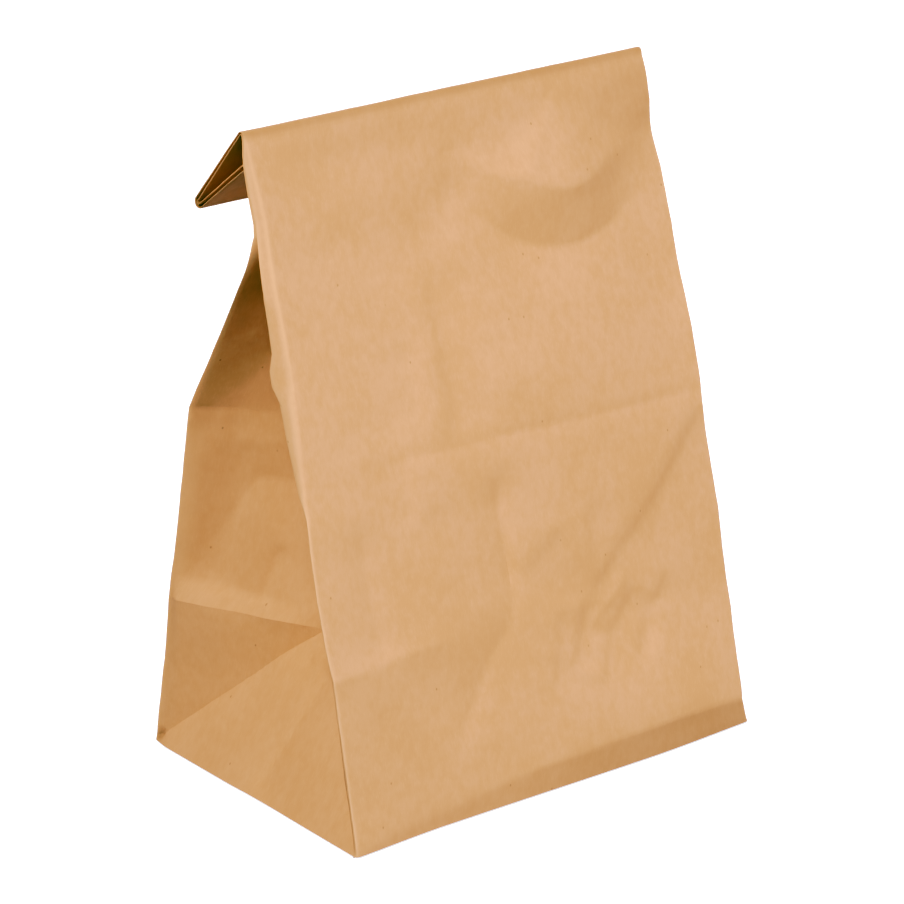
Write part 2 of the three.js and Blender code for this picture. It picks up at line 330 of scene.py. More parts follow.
# Creases of the front panel, through points (X, height)
FRONT_CREASES = (
    Valley("half fold", 0.07, 1.2, 1.6, 8, [(-66, 93.0), (-31, 94.0), (17, 92.5), (66, 90.8)]),
    Valley("half fold", 0.38, 1.7, 3.2, 5,
           [(-33, 93.9), (0, 93.0), (30, 92.0), (50, 90.9), (68, 90.6)]),
    Valley("left bend", 1.3, 9, 7, 12, [(-49.5, 84), (-49.2, 60), (-48.1, 48), (-48.0, 40)]),
    Valley("middle bend", 0.9, 3.0, 7, 12, [(-5.4, 88), (-5.8, 68), (-6.2, 46)]),
    Valley("middle bend", 1.05, 5.0, 10, 14,
           [(-5.5, 88), (-5.7, 68), (-6.2, 51), (-8.2, 45), (-16, 38.2), (-22, 29.6), (-33, 15)]),
    Valley("long wrinkle's foot", 0.12, 2.0, 1.0, 3, [(28, 54), (21, 50)]),
    Valley("bright wrinkle", -0.45, 1.6, 1.6, 4,
           [(31, 50.5), (28.5, 48.0), (25.5, 45.4), (21, 42.0), (15.5, 38.0)]),
    Valley("upper arc", 0.30, 1.5, 3.0, 4, [(-10, 163), (-5, 166), (0, 167), (6, 164)]),
    Valley("upper notch", 0.16, 0.9, 1.2, 2, [(0, 159.8), (6, 158.2)]),
    Valley("crescent ridge", -0.9, 9, 20, 12, [(35.5, 145), (34.3, 152), (33.2, 162), (32.5, 174)]),
    Valley("corner crease", 0.35, 2.5, 3.0, 4, [(53, 181), (56, 177), (61.5, 170.5)]),
    Bank("long wrinkle", 0.66, 2.5, 8,
         [(16, 46.0), (24.3, 52.1), (29.3, 56.6), (34.8, 60.7), (43.4, 66.8), (49.9, 72.7),
          (57.6, 79.9), (68, 87.8)]),
    Bank("short wrinkle", 0.36, 2.0, 4, [(-4, 56), (0.5, 59.0), (9, 64.5), (12, 67)]),
    Bank("small wrinkle", 0.60, 1.8, 4, [(8.5, 28), (12.3, 38), (15.5, 47)]),
    Bank("small wrinkle", 0.34, 1.6, 4, [(0.5, 24), (4.5, 35), (6, 46)]),
    Bank("small wrinkle", 0.30, 1.4, 3, [(16, 22), (19.5, 29), (21, 35)]),
    Bank("small wrinkle", -0.30, 1.6, 3, [(33, 25), (37, 33), (39, 41)]),
    Bank("small wrinkle", 0.34, 1.3, 3, [(27.5, 26), (31.5, 31), (34, 38)]),
    Bank("small wrinkle", 0.44, 1.5, 3, [(20, 34), (25, 38.8), (28.5, 42.5), (32, 47)]),
    Bank("small wrinkle", 0.40, 1.6, 3, [(37, 39), (44.5, 47.5)]),
    Bank("soft stripe", 0.40, 2.0, 6, [(19.4, 52), (20.2, 72)]),
    Bank("upper stripe", 0.65, 2.2, 12, [(-16.6, 92), (-15.9, 142)]),
    Bank("upper stripe", -0.55, 2.6, 9, [(-23.6, 96), (-23.4, 126)]),
    Bank("upper rise", -0.9, 8.0, 16, [(-7, 92), (-7, 162)]),
    Bank("upper stripe", -0.45, 1.8, 5, [(-32.0, 76), (-32.4, 97)]),
    Bank("right bulge", 0.8, 5.0, 12, [(40, 148), (50, 151), (58, 157), (72, 171)]),
    Bank("right bulge", 0.30, 3.0, 8, [(42, 171), (56, 172)]),
)

# The dent at the upper right lies along an arc, and its turn is in degrees from straight down
DENT_CENTRE = (33.5, 176.0)
DENT_RADIUS = 40.0
DENT_DEPTH = 1.7
DENT_SLOPE = 0.29
DENT_WIDTH = Ramp(15, 8, 30, 68)
DENT_REACH_BELOW = 11
DENT_REACH_ABOVE = 26
DENT_LEFT_END = Ramp(0, 1, -78, -58)
DENT_RIGHT_END = Ramp(1, 0, 4, 60)

# The stiff base ends at the left in a ridge, which fades out only at its right end
BASE_FOLD = [(-66, 45.0), (-48.9, 45.4), (-33.6, 46.2), (-20.0, 45.2)]
BASE_FOLD_RISE = 1.15
BASE_FOLD_BELOW = 5
BASE_FOLD_ABOVE = 9
BASE_FOLD_FADE = 20
BASE_FOLD_WHOLE = -40

# The foot of the front panel stands upright below a line through points (X, height). The whole
# panel stands forward there, and comes down level on the table.
BAND_LINE = [(-66, 0.8), (-55.4, 2.6), (-41, 3.6), (-24.4, 5.2), (-7.4, 6.9), (10.1, 7.4),
             (33.9, 8.1), (51.3, 7.7), (66, 7.1)]
BAND_SLOPE = Ramp(0.20, 0.46, -50, 60)
BAND_FADE = Ramp(1, 0, 0, 34)
FOOT_STEP = Ramp(0.4, 3.0, -66, 60)
FOOT_FADE = Ramp(1, 0, 0, 70)
FOOT_LEVEL = Ramp(0, 1, 0, 6)

# Slow swells of the front panel. The lower one goes by height, and the left one by X. Each of
# the two falls goes by X and then by height.
LOWER_SWELL = (Ramp(0, 2.6, -6, 54), Ramp(1, 0, 60, 150))
MIDDLE_SWELL = Mound(1.8, 20, 88, 34, 42)
LEFT_SWELL = Ramp(0.9, 0, -66, -38)
RIGHT_FALL = (Ramp(0, 1, 30, 70), Ramp(1.1, 3.8, 90, 130))
TOP_FALL = (Ramp(1.1, 1.8, 0, 50), Ramp(0, 1, 105, 164))
# How far above the neck the ridge starts to hold the paper flat, by X
FLAT_START = Ramp(13, 2, -20, 30)

# How far a panel's side edge stands in from the full width: heights, and insets there
FRONT_LEFT = (
    [0, 8, 40, 54, 66, 77, 86, 92, 107, 115, 119, 123, 127, 134, 140, 146, 154, 159, 165, 174],
    [0, 0.2, 0, -0.6, -1.0, -0.4, 0.3, 0.3, 0.9, 1.2, 0.9, 1.1, 1.8, 1.7, 1.4, 1.8, 2.4, 2.6, 2.2, 1.8])
BACK_LEFT = (
    [0, 10, 24, 50, 74, 90, 105, 120, 138, 159, 165, 174],
    [-2.2, -1.9, -0.9, -0.7, -0.2, -0.4, -0.2, 0.4, 0.8, 2.6, 2.2, 1.8])
FRONT_RIGHT = (
    [0, 7, 18, 32, 59, 87, 100, 114, 128, 135, 150, 158, 168, 180],
    [0.3, 4.0, 3.6, 1.4, -0.5, -0.9, -2.2, -3.3, -4.2, -4.6, -3.9, -2.8, -1.4, 1.8])
BACK_RIGHT = (
    [0, 8, 60, 100, 135, 150, 158, 168, 180],
    [0, 0.6, 0, -0.6, -2.3, -3.9, -2.8, -1.4, 1.8])

# The left strip of the front panel bends back along a crease: heights, with how far in from the
# full width it lies there, and how steeply the strip falls away
EDGE_CREASE = (
    [78, 86, 92, 100, 107, 115, 122, 127, 134, 140, 146, 154, 159, 165, 174, 181],
    [-0.6, 0.6, 1.0, 1.7, 2.3, 3.0, 4.0, 4.2, 4.3, 4.2, 4.5, 4.7, 4.7, 4.1, 3.2, 2.3])
EDGE_SLOPE = ([84, 92, 107, 120, 128, 142, 180], [0, 2.4, 2.5, 1.9, 1.5, 0.85, 0.85])
EDGE_BEND = 0.35
EDGE_FADE = 5

# The hip is where the base fold crosses a gusset, which stands out along it. The heights of the
# hip and of the soft stretch are counted from there.
HIP_SLOPE = 0.65
HIP_REACH_AT_EDGE = 5.5
HIP_REACH_AT_CENTRE = 2.5
HIP_EDGE = Ramp(0, 1, 0, 6)
HIP_CENTRE = Ramp(1, 0, 0.75, 1)
HIP_FADE_BELOW = 24
HIP_DEPTH = 2.0
HIP_DEPTH_REACH = 25
HIP_DROP = 2.2
HIP_DROP_REACH = 18
HIP_LIFT = 1.3
HIP_LIFT_REACH = 12
HIP_LIFT_EDGE = Ramp(0, 1, 0, 3)
HIDDEN_HIP_SHARE = 0.4

# The sharp half fold of the back panel fades out on the way in to the centre crease
SOFT_RINGS = 12
SOFT_START = Ramp(0, 1, 12, 34)
SOFT_END = Ramp(1, 0, 74, 90)

# Creases of the left gusset, through points (distance from the back edge, height)
GUSSET_CREASES = (
    Valley("soft fold", 4.6, 13, 45, 8, [(36, 76), (16, 74.5), (12, 68), (8, 60), (1, 46)]),
    Valley("half fold", -0.6, 4, 5, 5, [(-2, 84.5), (34, 84)]),
    Valley("stroke", 1.0, 2.5, 1.5, 5, [(27, 61), (24, 52), (22, 43)]),
    Valley("low wrinkle", 1.2, 5.0, 1.8, 5, [(49.5, 36), (47.4, 26.6), (42, 4), (41, 0)]),
)
GUSSET_BACK_FADE = 12
GUSSET_FRONT_FADE = 8
GUSSET_CENTRE_FADE = 5
HOLLOW_LINE = ([0, 22, 42], [98, 121, 128])
HOLLOW_DEPTH = 1.7
HOLLOW_REACH = 11
BACK_EDGE_PITS = (Mound(-0.9, 4.0, 87, 2.6, 5.0), Mound(-1.2, 1.6, 2.4, 1.0, 1.0))


def dent(x, height):
    """The dent at the upper right: a valley along an arc, and a slope above it that bulges out."""
    across, rise = x - DENT_CENTRE[0], height - DENT_CENTRE[1]
    inside = DENT_RADIUS - np.hypot(across, rise)
    turn = np.degrees(np.arctan2(across, -rise))
    width = DENT_WIDTH(-turn)
    top = DENT_SLOPE * width - DENT_DEPTH
    crisp = np.hypot(inside, CRISP) - CRISP
    outside = -DENT_DEPTH * np.exp(-crisp / DENT_REACH_BELOW)
    slope = mix(-DENT_DEPTH, top, np.clip(inside / width, 0, 1))
    beyond = top * np.exp(-np.maximum(inside - width, 0) / DENT_REACH_ABOVE)
    raised = np.where(inside < 0, outside, np.where(inside < width, slope, beyond))
    return raised * DENT_LEFT_END(turn) * DENT_RIGHT_END(turn)


def base_fold(x, height):
    """The ridge at the left end of the stiff base. The paper under it faces down."""
    gap, to_end = line_field(x, height, BASE_FOLD)
    to_end = np.where(x < BASE_FOLD_WHOLE, BASE_FOLD_FADE, to_end)
    near = np.where(gap < 0, np.exp(gap / BASE_FOLD_BELOW), np.exp(-gap / BASE_FOLD_ABOVE))
    return BASE_FOLD_RISE * near * smoothstep(0, BASE_FOLD_FADE, to_end)


def panel_foot(x, height):
    """The foot of the front panel, which stands upright and a little forward."""
    top = np.interp(x, *np.transpose(BAND_LINE))
    proud = BAND_SLOPE(x) * top * np.where(height < top, height / top, BAND_FADE(height - top))
    return proud + FOOT_STEP(x) * FOOT_FADE(height)


class FoldedPaper:
    """The sheet round the bag. A place on it is a ring and a distance round the loop, which
    starts at the left end of the front panel and runs over the right gusset, the back panel
    and the left gusset."""

    ROUND_TAPS = ((-1, 1), (-0.5, 2), (0, 2), (0.5, 2), (1, 1))
    ROUND_REACH = ([0, 90, 110, 140, 156, 170], [0.8, 0.8, 1.1, 1.1, 0.5, 0.4])
    ROUND_END = Ramp(1, 0, 2.0, 3.6)
    PRESSED_START = 16

    def __init__(self, sizes):
        mm = Millimetres(sizes)
        self.outline = SideOutline(sizes)
        self.heights = self.outline.height
        self.width = mm.width
        self.depth = mm.depth
        self.half_width = mm.width / 2
        self.half_depth = mm.depth / 2
        self.loop = 2 * (mm.width + mm.depth)
        self.marks = np.array([0, mm.width, mm.width + mm.depth, 2 * mm.width + mm.depth, self.loop])
        every = np.arange(len(self.heights))
        self.edges = {}
        for side in (-1, 1):
            at_edge = np.full(len(every), side * self.half_width)
            front = self.on_front(at_edge, every)
            back = self.on_back(at_edge, every)
            across = (back - front) / np.linalg.norm(back - front, axis=1)[:, None]
            self.edges[side] = (front + across * mm.ply, back - across * mm.ply)
        self.centres = {side: self.centre_crease(side) for side in (-1, 1)}

    def spread(self, across, heights, left_insets, right_insets):
        """X of a place across a panel, whose side edges stand in a little."""
        left = self.half_width - np.interp(heights, *left_insets)
        right = self.half_width - np.interp(heights, *right_insets)
        return across / self.half_width * np.where(across < 0, left, right)

    def relief(self, x, height):
        """How far the front panel stands out of its flat slope."""
        line = self.outline
        out = sum(crease(x, height) for crease in FRONT_CREASES)
        out += dent(x, height) + base_fold(x, height) + panel_foot(x, height)
        out += LOWER_SWELL[0](height) * LOWER_SWELL[1](height)
        out += MIDDLE_SWELL(x, height) + LEFT_SWELL(x)
        out -= RIGHT_FALL[0](x) * RIGHT_FALL[1](height)
        out -= TOP_FALL[0](x) * TOP_FALL[1](height)
        out *= 1 - smoothstep(line.neck_slant + FLAT_START(x), line.slant, height)
        # Beside its left edge the panel bends back along a long crease
        beyond = np.interp(height, *EDGE_CREASE) - self.half_width - x
        bent = np.interp(height, *EDGE_SLOPE) * (beyond + np.hypot(beyond, EDGE_BEND)) / 2
        return out - bent * (1 - smoothstep(line.slant - EDGE_FADE, line.slant, height))

    def on_front(self, across, ring):
        line = self.outline
        height = self.heights[ring]
        x = self.spread(across, height, FRONT_LEFT, FRONT_RIGHT)
        push = np.outer(self.relief(x, height), line.out)
        push[:, 1] *= FOOT_LEVEL(height)
        return np.column_stack([x, line.front[ring] + push])

    def pressed(self, height):
        """How closely the other layers follow the front panel: fully from the neck up."""
        neck = self.outline.neck_slant
        return smoothstep(neck - self.PRESSED_START, neck, height)

    def on_back(self, across, ring):
        line = self.outline
        height = self.heights[ring]
        x = self.spread(across, height, BACK_LEFT, BACK_RIGHT)
        out = self.relief(x, height) * self.pressed(height)
        return np.column_stack([x, line.back[ring] + np.outer(out, line.out)])

    def centre_crease(self, side):
        """The gusset's centre crease, pushed in as far as its paper width allows."""
        front, back = self.edges[side]
        half_span = np.minimum(np.linalg.norm(back - front, axis=1) / 2, self.half_depth)
        pushed = np.sqrt(np.maximum(self.half_depth ** 2 - half_span ** 2, 0))
        middle = (front + back) / 2
        middle[:, 0] -= side * pushed
        above = self.heights - self.heights[self.outline.hip_ring]
        padded = np.pad(middle, ((SOFT_RINGS, SOFT_RINGS), (0, 0)), mode="edge")
        share = np.ones(2 * SOFT_RINGS + 1) / (2 * SOFT_RINGS + 1)
        soft = np.column_stack([np.convolve(part, share, mode="valid") for part in padded.T])
        middle = mix(middle, soft, (SOFT_START(above) * SOFT_END(above))[:, None])
        middle[:, 0] -= side * HIP_DEPTH * np.exp(-(above / HIP_DEPTH_REACH) ** 2)
        middle[:, 2] -= HIP_DROP * np.exp(-np.maximum(above, 0) / HIP_DROP_REACH)
        return middle

    def gusset_relief(self, side, from_back, height):
        """How far a gusset stands out sideways. The hidden right one is nearly plain."""
        above = height - self.heights[self.outline.hip_ring]
        inward = np.clip(from_back / self.half_depth, 0, 1)
        reach = mix(HIP_REACH_AT_EDGE, HIP_REACH_AT_CENTRE, inward)
        crest = HIP_SLOPE * reach * HIP_EDGE(from_back) * HIP_CENTRE(inward)
        out = crest * np.where(above > 0, np.maximum(1 - above / reach, 0),
                               np.exp(above / HIP_FADE_BELOW))
        if side > 0:
            return out * HIDDEN_HIP_SHARE
        folds = sum(crease(from_back, height) for crease in GUSSET_CREASES)
        from_hollow = height - np.interp(from_back, *HOLLOW_LINE)
        folds -= HOLLOW_DEPTH * np.exp(-(from_hollow / HOLLOW_REACH) ** 2)
        folds *= smoothstep(0, GUSSET_BACK_FADE, from_back)
        folds *= 1 - smoothstep(self.depth - GUSSET_FRONT_FADE, self.depth, from_back)
        at_centre = 1 - smoothstep(self.half_depth - GUSSET_CENTRE_FADE, self.half_depth, from_back)
        folds *= np.where(above > 0, at_centre, 1)
        return out + folds + sum(pit(from_back, height) for pit in BACK_EDGE_PITS)

    def on_gusset(self, side, place, ring):
        """A point on a gusset; place runs from the front edge to the back edge."""
        half = self.half_depth
        front, back = (part[ring] for part in self.edges[side])
        centre = self.centres[side][ring]
        is_front = (place <= half)[:, None]
        inside = np.where(place <= half, place, self.depth - place)
        edge = np.where(is_front, front, back)
        point = mix(edge, centre, (inside / half)[:, None])
        # Below the hip two diagonal creases run from the base corners to the centre crease
        hip = self.outline.hip_ring
        rise = ring / hip * half
        foot_front, foot_back = self.edges[side][0][0], self.edges[side][1][0]
        peak = self.centres[side][hip]
        share = (np.minimum(ring, hip) / hip)[:, None]
        diagonal_front = mix(foot_front, peak, share)
        diagonal_back = mix(foot_back, peak, share)
        diagonal = np.where(is_front, diagonal_front, diagonal_back)
        outer = mix(edge, diagonal, np.clip(inside / np.maximum(rise, 1e-6), 0, 1)[:, None])
        across = np.clip((place - rise) / np.maximum(self.depth - 2 * rise, 1e-6), 0, 1)
        middle = mix(diagonal_front, diagonal_back, across[:, None])
        low = np.where((inside < rise)[:, None], outer, middle)
        point = np.where((ring < hip)[:, None], low, point)
        height = self.heights[ring]
        from_back = self.depth - place
        point[:, 0] += side * self.gusset_relief(side, from_back, height)
        lift = HIP_LIFT * HIP_LIFT_EDGE(from_back) * np.clip(1 - from_back / half, 0, 1)
        point[:, 2] += lift * np.exp(-((height - self.heights[hip]) / HIP_LIFT_REACH) ** 2)
        # In the flattened neck the gusset's layers follow the front panel
        at_edge = self.spread(np.full(len(ring), side * self.half_width), height,
                              FRONT_LEFT, FRONT_RIGHT)
        follow = self.relief(point[:, 0], height) - self.relief(at_edge, height)
        point[:, 1:] += np.outer(follow * self.pressed(height), self.outline.out)
        return point

    def part_of(self, around):
        """Number of the part that a place round the loop lies on, from the front panel on."""
        return np.searchsorted(self.marks[1:-1], around, side="right")

    def from_edge(self, around):
        """Distance round the loop to the nearest long edge."""
        return np.abs(around[:, None] - self.marks).min(axis=1)

    def point(self, around, ring):
        """Places round the loop, without rounding."""
        around = np.mod(around, self.loop)
        parts = (
            lambda place, ring: self.on_front(place - self.half_width, ring),
            lambda place, ring: self.on_gusset(1, place, ring),
            lambda place, ring: self.on_back(self.half_width - place, ring),
            lambda place, ring: self.on_gusset(-1, self.depth - place, ring),
        )
        result = np.zeros((len(around), 3))
        part_of = self.part_of(around)
        for part, (start, at) in enumerate(zip(self.marks, parts)):
            chosen = part_of == part
            result[chosen] = at(around[chosen] - start, ring[chosen])
        return result

    def rounding(self, around, ring):
        """Reach of the rounding at the four long edges; it is nil in between."""
        reach = np.interp(self.heights[ring], *self.ROUND_REACH)
        return reach * self.ROUND_END(self.from_edge(around))

    def rounded(self, around, ring):
        """Places round the loop, with the long edges rounded."""
        result = self.point(around, ring)
        reach = self.rounding(around, ring)
        round_here = reach > 0
        around, ring, reach = around[round_here], ring[round_here], reach[round_here]
        total = sum(weight for _, weight in self.ROUND_TAPS)
        result[round_here] = sum(
            self.point(around + offset * reach, ring) * (weight / total)
            for offset, weight in self.ROUND_TAPS)
        return result


# Columns of the mesh: places beside a panel's long edge, the strip that they fill, how many lie
# between two strips, and the place of the first one beside a gusset's edge
EDGE_COLUMNS = np.array([0.35, 0.7, 1.1, 1.5, 1.9, 2.3, 2.7, 3.1, 3.5, 3.9, 4.4])
EDGE_STRIP = 5
FRONT_COLUMNS = 123
BACK_COLUMNS = 51
GUSSET_EDGE_COLUMN = 0.4
# How far the paper's pattern runs on into the face that closes an end
CAP_RUN = 5


def loop_columns(paper):
    """Distances round the loop of the mesh's columns, closer together at the long edges."""

    def panel(start, count):
        inner = np.linspace(EDGE_STRIP, paper.width - EDGE_STRIP, count)
        far = paper.width - EDGE_COLUMNS[::-1]
        return [start, *(start + EDGE_COLUMNS), *(start + inner), *(start + far)]

    def gusset(start):
        count = round(paper.depth)
        inner = [start + paper.depth * step / count for step in range(1, count)]
        end = start + paper.depth - GUSSET_EDGE_COLUMN
        return [start, start + GUSSET_EDGE_COLUMN, *inner, end]

    front, right, back, left = paper.marks[:-1]
    return np.array([*panel(front, FRONT_COLUMNS), *gusset(right),
                     *panel(back, BACK_COLUMNS), *gusset(left)])


def build_sheet(paper):
    """Points, faces and UV places of the folded sheet, closed at both ends, and its columns."""
    columns = loop_columns(paper)
    rings, around = len(paper.heights), len(columns)
    points = paper.rounded(np.tile(columns, rings), np.repeat(np.arange(rings), around))
    points = list(map(tuple, points))
    part = paper.part_of(columns)
    centres = paper.marks[part] + paper.depth / 2
    next_place = np.append(columns[1:], paper.loop)
    faces, uvs = [], []
    for ring in range(rings - 1):
        low_run, high_run = paper.outline.run[ring], paper.outline.run[ring + 1]
        for column in range(around):
            after = (column + 1) % around
            low, low_next = ring * around + column, ring * around + after
            high, high_next = low + around, low_next + around
            s0, s1 = columns[column], next_place[column]
            quad = [(low, s0, low_run), (low_next, s1, low_run),
                    (high_next, s1, high_run), (high, s0, high_run)]
            pieces = [quad]
            if part[column] in (1, 3) and ring < paper.outline.hip_ring:
                rises = s0 < centres[column]
                halves = ((0, 1, 2), (0, 2, 3)) if rises else ((0, 1, 3), (1, 2, 3))
                pieces = [[quad[corner] for corner in half] for half in halves]
            for piece in pieces:
                faces.append([corner[0] for corner in piece])
                uvs.extend((corner[1] * MM, corner[2] * MM) for corner in piece)
    for ring in (0, rings - 1):
        front, back = paper.outline.front[ring], paper.outline.back[ring]
        middle = len(points)
        points.append((0.0, *((front + back) / 2)))
        run = paper.outline.run[ring]
        for column in range(around):
            after = (column + 1) % around
            pair = [ring * around + column, ring * around + after]
            ends = [columns[column], next_place[column]]
            if ring == 0:
                pair.reverse()
                ends.reverse()
            faces.append([middle, *pair])
            uvs.extend([(sum(ends) / 2 * MM, (run - CAP_RUN) * MM),
                        (ends[0] * MM, run * MM), (ends[1] * MM, run * MM)])
    return points, faces, uvs, columns


class Value:
    """A socket in a node tree. Sums on it are written as expressions and add Math nodes."""

    def __init__(self, nodes, socket):
        self.nodes = nodes
        self.socket = socket

    def maths(self, operation, *operands):
        node = self.nodes.add("ShaderNodeMath", operation=operation)
        for socket, operand in zip(node.inputs, operands):
            self.nodes.feed(socket, operand)
        return Value(self.nodes, node.outputs[0])

    def __add__(self, other):
        return self.maths("ADD", self, other)

    def __radd__(self, other):
        return self.maths("ADD", other, self)

    def __sub__(self, other):
        return self.maths("SUBTRACT", self, other)

    def __rsub__(self, other):
        return self.maths("SUBTRACT", other, self)

    def __mul__(self, other):
        return self.maths("MULTIPLY", self, other)

    def __rmul__(self, other):
        return self.maths("MULTIPLY", other, self)

    def __truediv__(self, other):
        return self.maths("DIVIDE", self, other)

    def __rtruediv__(self, other):
        return self.maths("DIVIDE", other, self)


class Nodes:
    """Adds nodes to one tree."""

    def __init__(self, tree):
        self.tree = tree

    def add(self, kind, inputs=(), stops=(), **settings):
        """One node: its settings first, then the stops of its ramp, then its sockets."""
        node = self.tree.nodes.new(kind)
        for name, value in settings.items():
            setattr(node, name, value)
        if stops:
            ramp = node.color_ramp
            while len(ramp.elements) < len(stops):
                ramp.elements.new(0.5)
            for element, (place, shade) in zip(ramp.elements, stops):
                element.position = place
                element.color = (shade, shade, shade, 1)
        for name, value in dict(inputs).items():
            self.feed(node.inputs[name], value)
        return node

    def feed(self, socket, value):
        if isinstance(value, Value):
            self.tree.links.new(value.socket, socket)
        else:
            socket.default_value = value

    def value(self, kind, output, inputs=(), stops=(), **settings):
        node = self.add(kind, inputs, stops, **settings)
        return Value(self, node.outputs[output])

    def ramp(self, share, *stops):
        """Grey between stops (place, shade)."""
        return self.value("ShaderNodeValToRGB", "Color", {"Fac": share}, stops=stops)

    def blend(self, share, first, second):
        """Colour between two colours."""
        node = self.add("ShaderNodeMix", data_type="RGBA")
        sockets = {socket.identifier: socket for socket in (*node.inputs, *node.outputs)}
        self.feed(sockets["Factor_Float"], share)
        self.feed(sockets["A_Color"], first)
        self.feed(sockets["B_Color"], second)
        return Value(self, sockets["Result_Color"])


def opaque(shade):
    return (*shade, 1.0)


# Sizes of the paper's patterns across and along the sheet, in millimetres
CLOUD_SIZE = (22, 30)
PULP_SIZE = (2.4, 3.6)
FIBRE_SIZE = (0.32, 2.1)
GRAIN_SIZE = (0.25, 0.4)
FLECK_SPACING = (4.5, 6.5)
# How strongly each mark covers the paper's colour
MOTTLE_SHARE = 0.6
PALE_FIBRE_SHARE = 0.22
DARK_FIBRE_SHARE = 0.18
WEAR_AND_HIGHLIGHT_SHARE = 0.75
PAINTED_SHADE_SHARE = 0.85
FLECK_SHARE = 0.55
# Fine relief of the paper, and how matt it is
RELIEF_STRENGTH = 0.35
RELIEF_HEIGHT = 0.05 * MM
ROUGHNESS_SPREAD = 0.12
SPECULAR_LEVEL = 0.35


def kraft_paper(finish):
    """Brown kraft paper: cloudy pulp, fibres along the sheet, a few flecks, pale folds from worn fibres
    and painted highlight, and painted shade at some folds.
    """
    material = bpy.data.materials.new("kraft_paper")
    material.use_nodes = True
    tree = material.node_tree
    tree.nodes.clear()
    nodes = Nodes(tree)
    sheet = nodes.value("ShaderNodeUVMap", "UV", uv_map="sheet")

    def stretched(across, along):
        return nodes.value("ShaderNodeMapping", "Vector",
                           {"Vector": sheet, "Scale": (1 / (across * MM), 1 / (along * MM), 1)})

    def noise(vector, detail=3.0, rough=0.55):
        return nodes.value("ShaderNodeTexNoise", "Fac",
                           {"Vector": vector, "Scale": 1.0, "Detail": detail, "Roughness": rough},
                           noise_dimensions="2D")

    def painted(name):
        return nodes.value("ShaderNodeAttribute", "Fac", attribute_name=name)

    clouds = noise(stretched(*CLOUD_SIZE), detail=2)
    pulp = noise(stretched(*PULP_SIZE), detail=4, rough=0.6)
    fibres = noise(stretched(*FIBRE_SIZE), detail=3, rough=0.6)
    grain = noise(stretched(*GRAIN_SIZE), detail=2)
    mottle = nodes.ramp(clouds * 0.5 + pulp * 0.5, (0.38, 0), (0.62, 1))
    pale = nodes.ramp(fibres, (0.55, 0), (0.72, 1))
    dark = nodes.ramp(fibres, (0.30, 1), (0.45, 0))
    base = nodes.blend(mottle * MOTTLE_SHARE, opaque(finish.paper), opaque(finish.mottle))
    base = nodes.blend(pale * PALE_FIBRE_SHARE, base, opaque(finish.pale_fibre_and_highlight))
    base = nodes.blend(dark * DARK_FIBRE_SHARE, base, opaque(finish.mottle))
    # Pale folds: partly worn, partly painted highlight on rounded edges and creases
    base = nodes.blend(painted("fold_wear") * WEAR_AND_HIGHLIGHT_SHARE, base, opaque(finish.pale_fibre_and_highlight))
    # Painted shade on the ridge, the tip of the roll and a gusset's foot corner
    base = nodes.blend(painted("fold_shade") * PAINTED_SHADE_SHARE, base, opaque(finish.fleck_and_painted_shade))
    # A fleck lies in the middle of a few cells, which are picked by their random colour
    cells = nodes.add("ShaderNodeTexVoronoi",
                      {"Vector": stretched(*FLECK_SPACING), "Scale": 1.0, "Randomness": 1.0},
                      voronoi_dimensions="2D")
    near_cell = nodes.ramp(Value(nodes, cells.outputs["Distance"]), (0.035, 1), (0.06, 0))
    chance = nodes.value("ShaderNodeSeparateColor", "Red",
                         {"Color": Value(nodes, cells.outputs["Color"])})
    rare = nodes.ramp(chance, (0.965, 0), (0.975, 1))
    base = nodes.blend(near_cell * rare * FLECK_SHARE, base, opaque(finish.fleck_and_painted_shade))
    height = fibres * 0.6 + grain * 0.4 + pulp * 0.8
    bump = nodes.value("ShaderNodeBump", "Normal",
                       {"Strength": RELIEF_STRENGTH, "Distance": RELIEF_HEIGHT, "Height": height})
    shader = nodes.add("ShaderNodeBsdfPrincipled", {
        "Base Color": base,
        "Roughness": finish.roughness + (fibres - 0.5) * ROUGHNESS_SPREAD,
        "Specular IOR Level": SPECULAR_LEVEL,
        "Normal": bump,
    })
    output = nodes.add("ShaderNodeOutputMaterial")
    tree.links.new(shader.outputs[0], output.inputs["Surface"])
    return material


